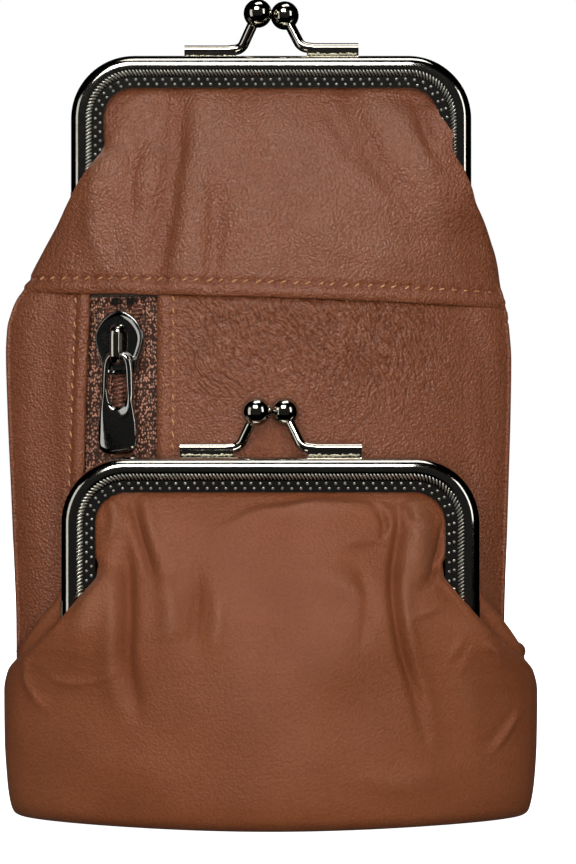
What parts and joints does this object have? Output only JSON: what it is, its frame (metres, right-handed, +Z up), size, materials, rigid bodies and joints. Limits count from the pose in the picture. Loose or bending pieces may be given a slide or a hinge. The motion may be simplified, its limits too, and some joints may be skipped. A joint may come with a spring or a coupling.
{
  "type": "coin purse",
  "caption": "Tall leather kiss-lock purse with a front zip pocket and a smaller kiss-lock coin pouch sewn to its lower front.",
  "frame": {"origin": "middle of the base that the purse stands on", "axes": "+X to the right seen from the front, -Y out of the front where the coin pouch is, +Z up to the kiss lock"},
  "size_m": [0.0964, 0.0427, 0.154],
  "materials": {
    "leather": "smooth brown leather with a soft pebble grain and a low sheen",
    "nickel": "dark nickel plating, rolled edge ticks and a stippled inner band",
    "frame_cord": "twisted paper cord wrapped in the leather's turned edge",
    "lining": "matt woven lining",
    "zip_tape": "brown woven zip tape",
    "zip_metal": "antique nickel zip parts"
  },
  "bodies": {
    "pouch": {"main_front_panel": "leather", "main_back_panel": "leather", "main_bottom_panel": "leather", "front_yoke_band": "leather", "back_yoke_band": "leather", "main_lining": "lining", "main_front_fold": "leather", "main_rear_fold": "leather", "main_hinge_rivets": "nickel", "zip_tape_left": "zip_tape", "zip_tape_right": "zip_tape", "zip_teeth_left": "zip_metal", "zip_teeth_right": "zip_metal", "zip_stops": "zip_metal", "zip_pocket_bag": "lining", "coin_front_panel": "leather", "coin_back_panel": "leather", "coin_side_nubs": "leather", "coin_rear_upper": "leather", "coin_rear_frame": "nickel", "coin_rear_clasp": "nickel", "coin_rear_cord": "frame_cord", "coin_lining": "lining", "coin_front_fold": "leather", "coin_hinge_rivets": "nickel"},
    "main_front_half": {"main_front_frame": "nickel", "main_front_clasp": "nickel", "main_front_cord": "frame_cord", "main_front_upper": "leather", "main_front_upper_lining": "lining"},
    "main_rear_half": {"main_rear_frame": "nickel", "main_rear_clasp": "nickel", "main_rear_cord": "frame_cord", "main_rear_upper": "leather", "main_rear_upper_lining": "lining"},
    "coin_front_half": {"coin_front_frame": "nickel", "coin_front_clasp": "nickel", "coin_front_cord": "frame_cord", "coin_front_upper": "leather", "coin_front_upper_lining": "lining"},
    "zip_slider": {"zip_slider": "zip_metal"},
    "zip_pull": {"zip_pull": "zip_metal"}
  },
  "joints": [
    {"name": "main_front_open", "type": "hinge", "parent": "pouch", "child": "main_front_half", "pos_m": [0, 0.009, 0.11], "axis": [1, 0, 0], "range_deg": [0, 50], "deforming": ["main_front_fold"]},
    {"name": "main_rear_open", "type": "hinge", "parent": "pouch", "child": "main_rear_half", "pos_m": [0, 0.009, 0.11], "axis": [1, 0, 0], "range_deg": [-50, 0], "deforming": ["main_rear_fold"]},
    {"name": "coin_front_open", "type": "hinge", "parent": "pouch", "child": "coin_front_half", "pos_m": [0, -0.0087, 0.034], "axis": [1, 0, 0], "range_deg": [0, 60], "deforming": ["coin_front_fold"]},
    {"name": "zip_slide", "type": "slide", "parent": "pouch", "child": "zip_slider", "axis": [0, 0, 1], "range_m": [-0.045, 0]},
    {"name": "pull_swing", "type": "hinge", "parent": "zip_slider", "child": "zip_pull", "pos_m": [-0.02858, -0.00107, 0.086], "axis": [-0.961, 0.2767, 0], "range_deg": [0, 155]}
  ]
}
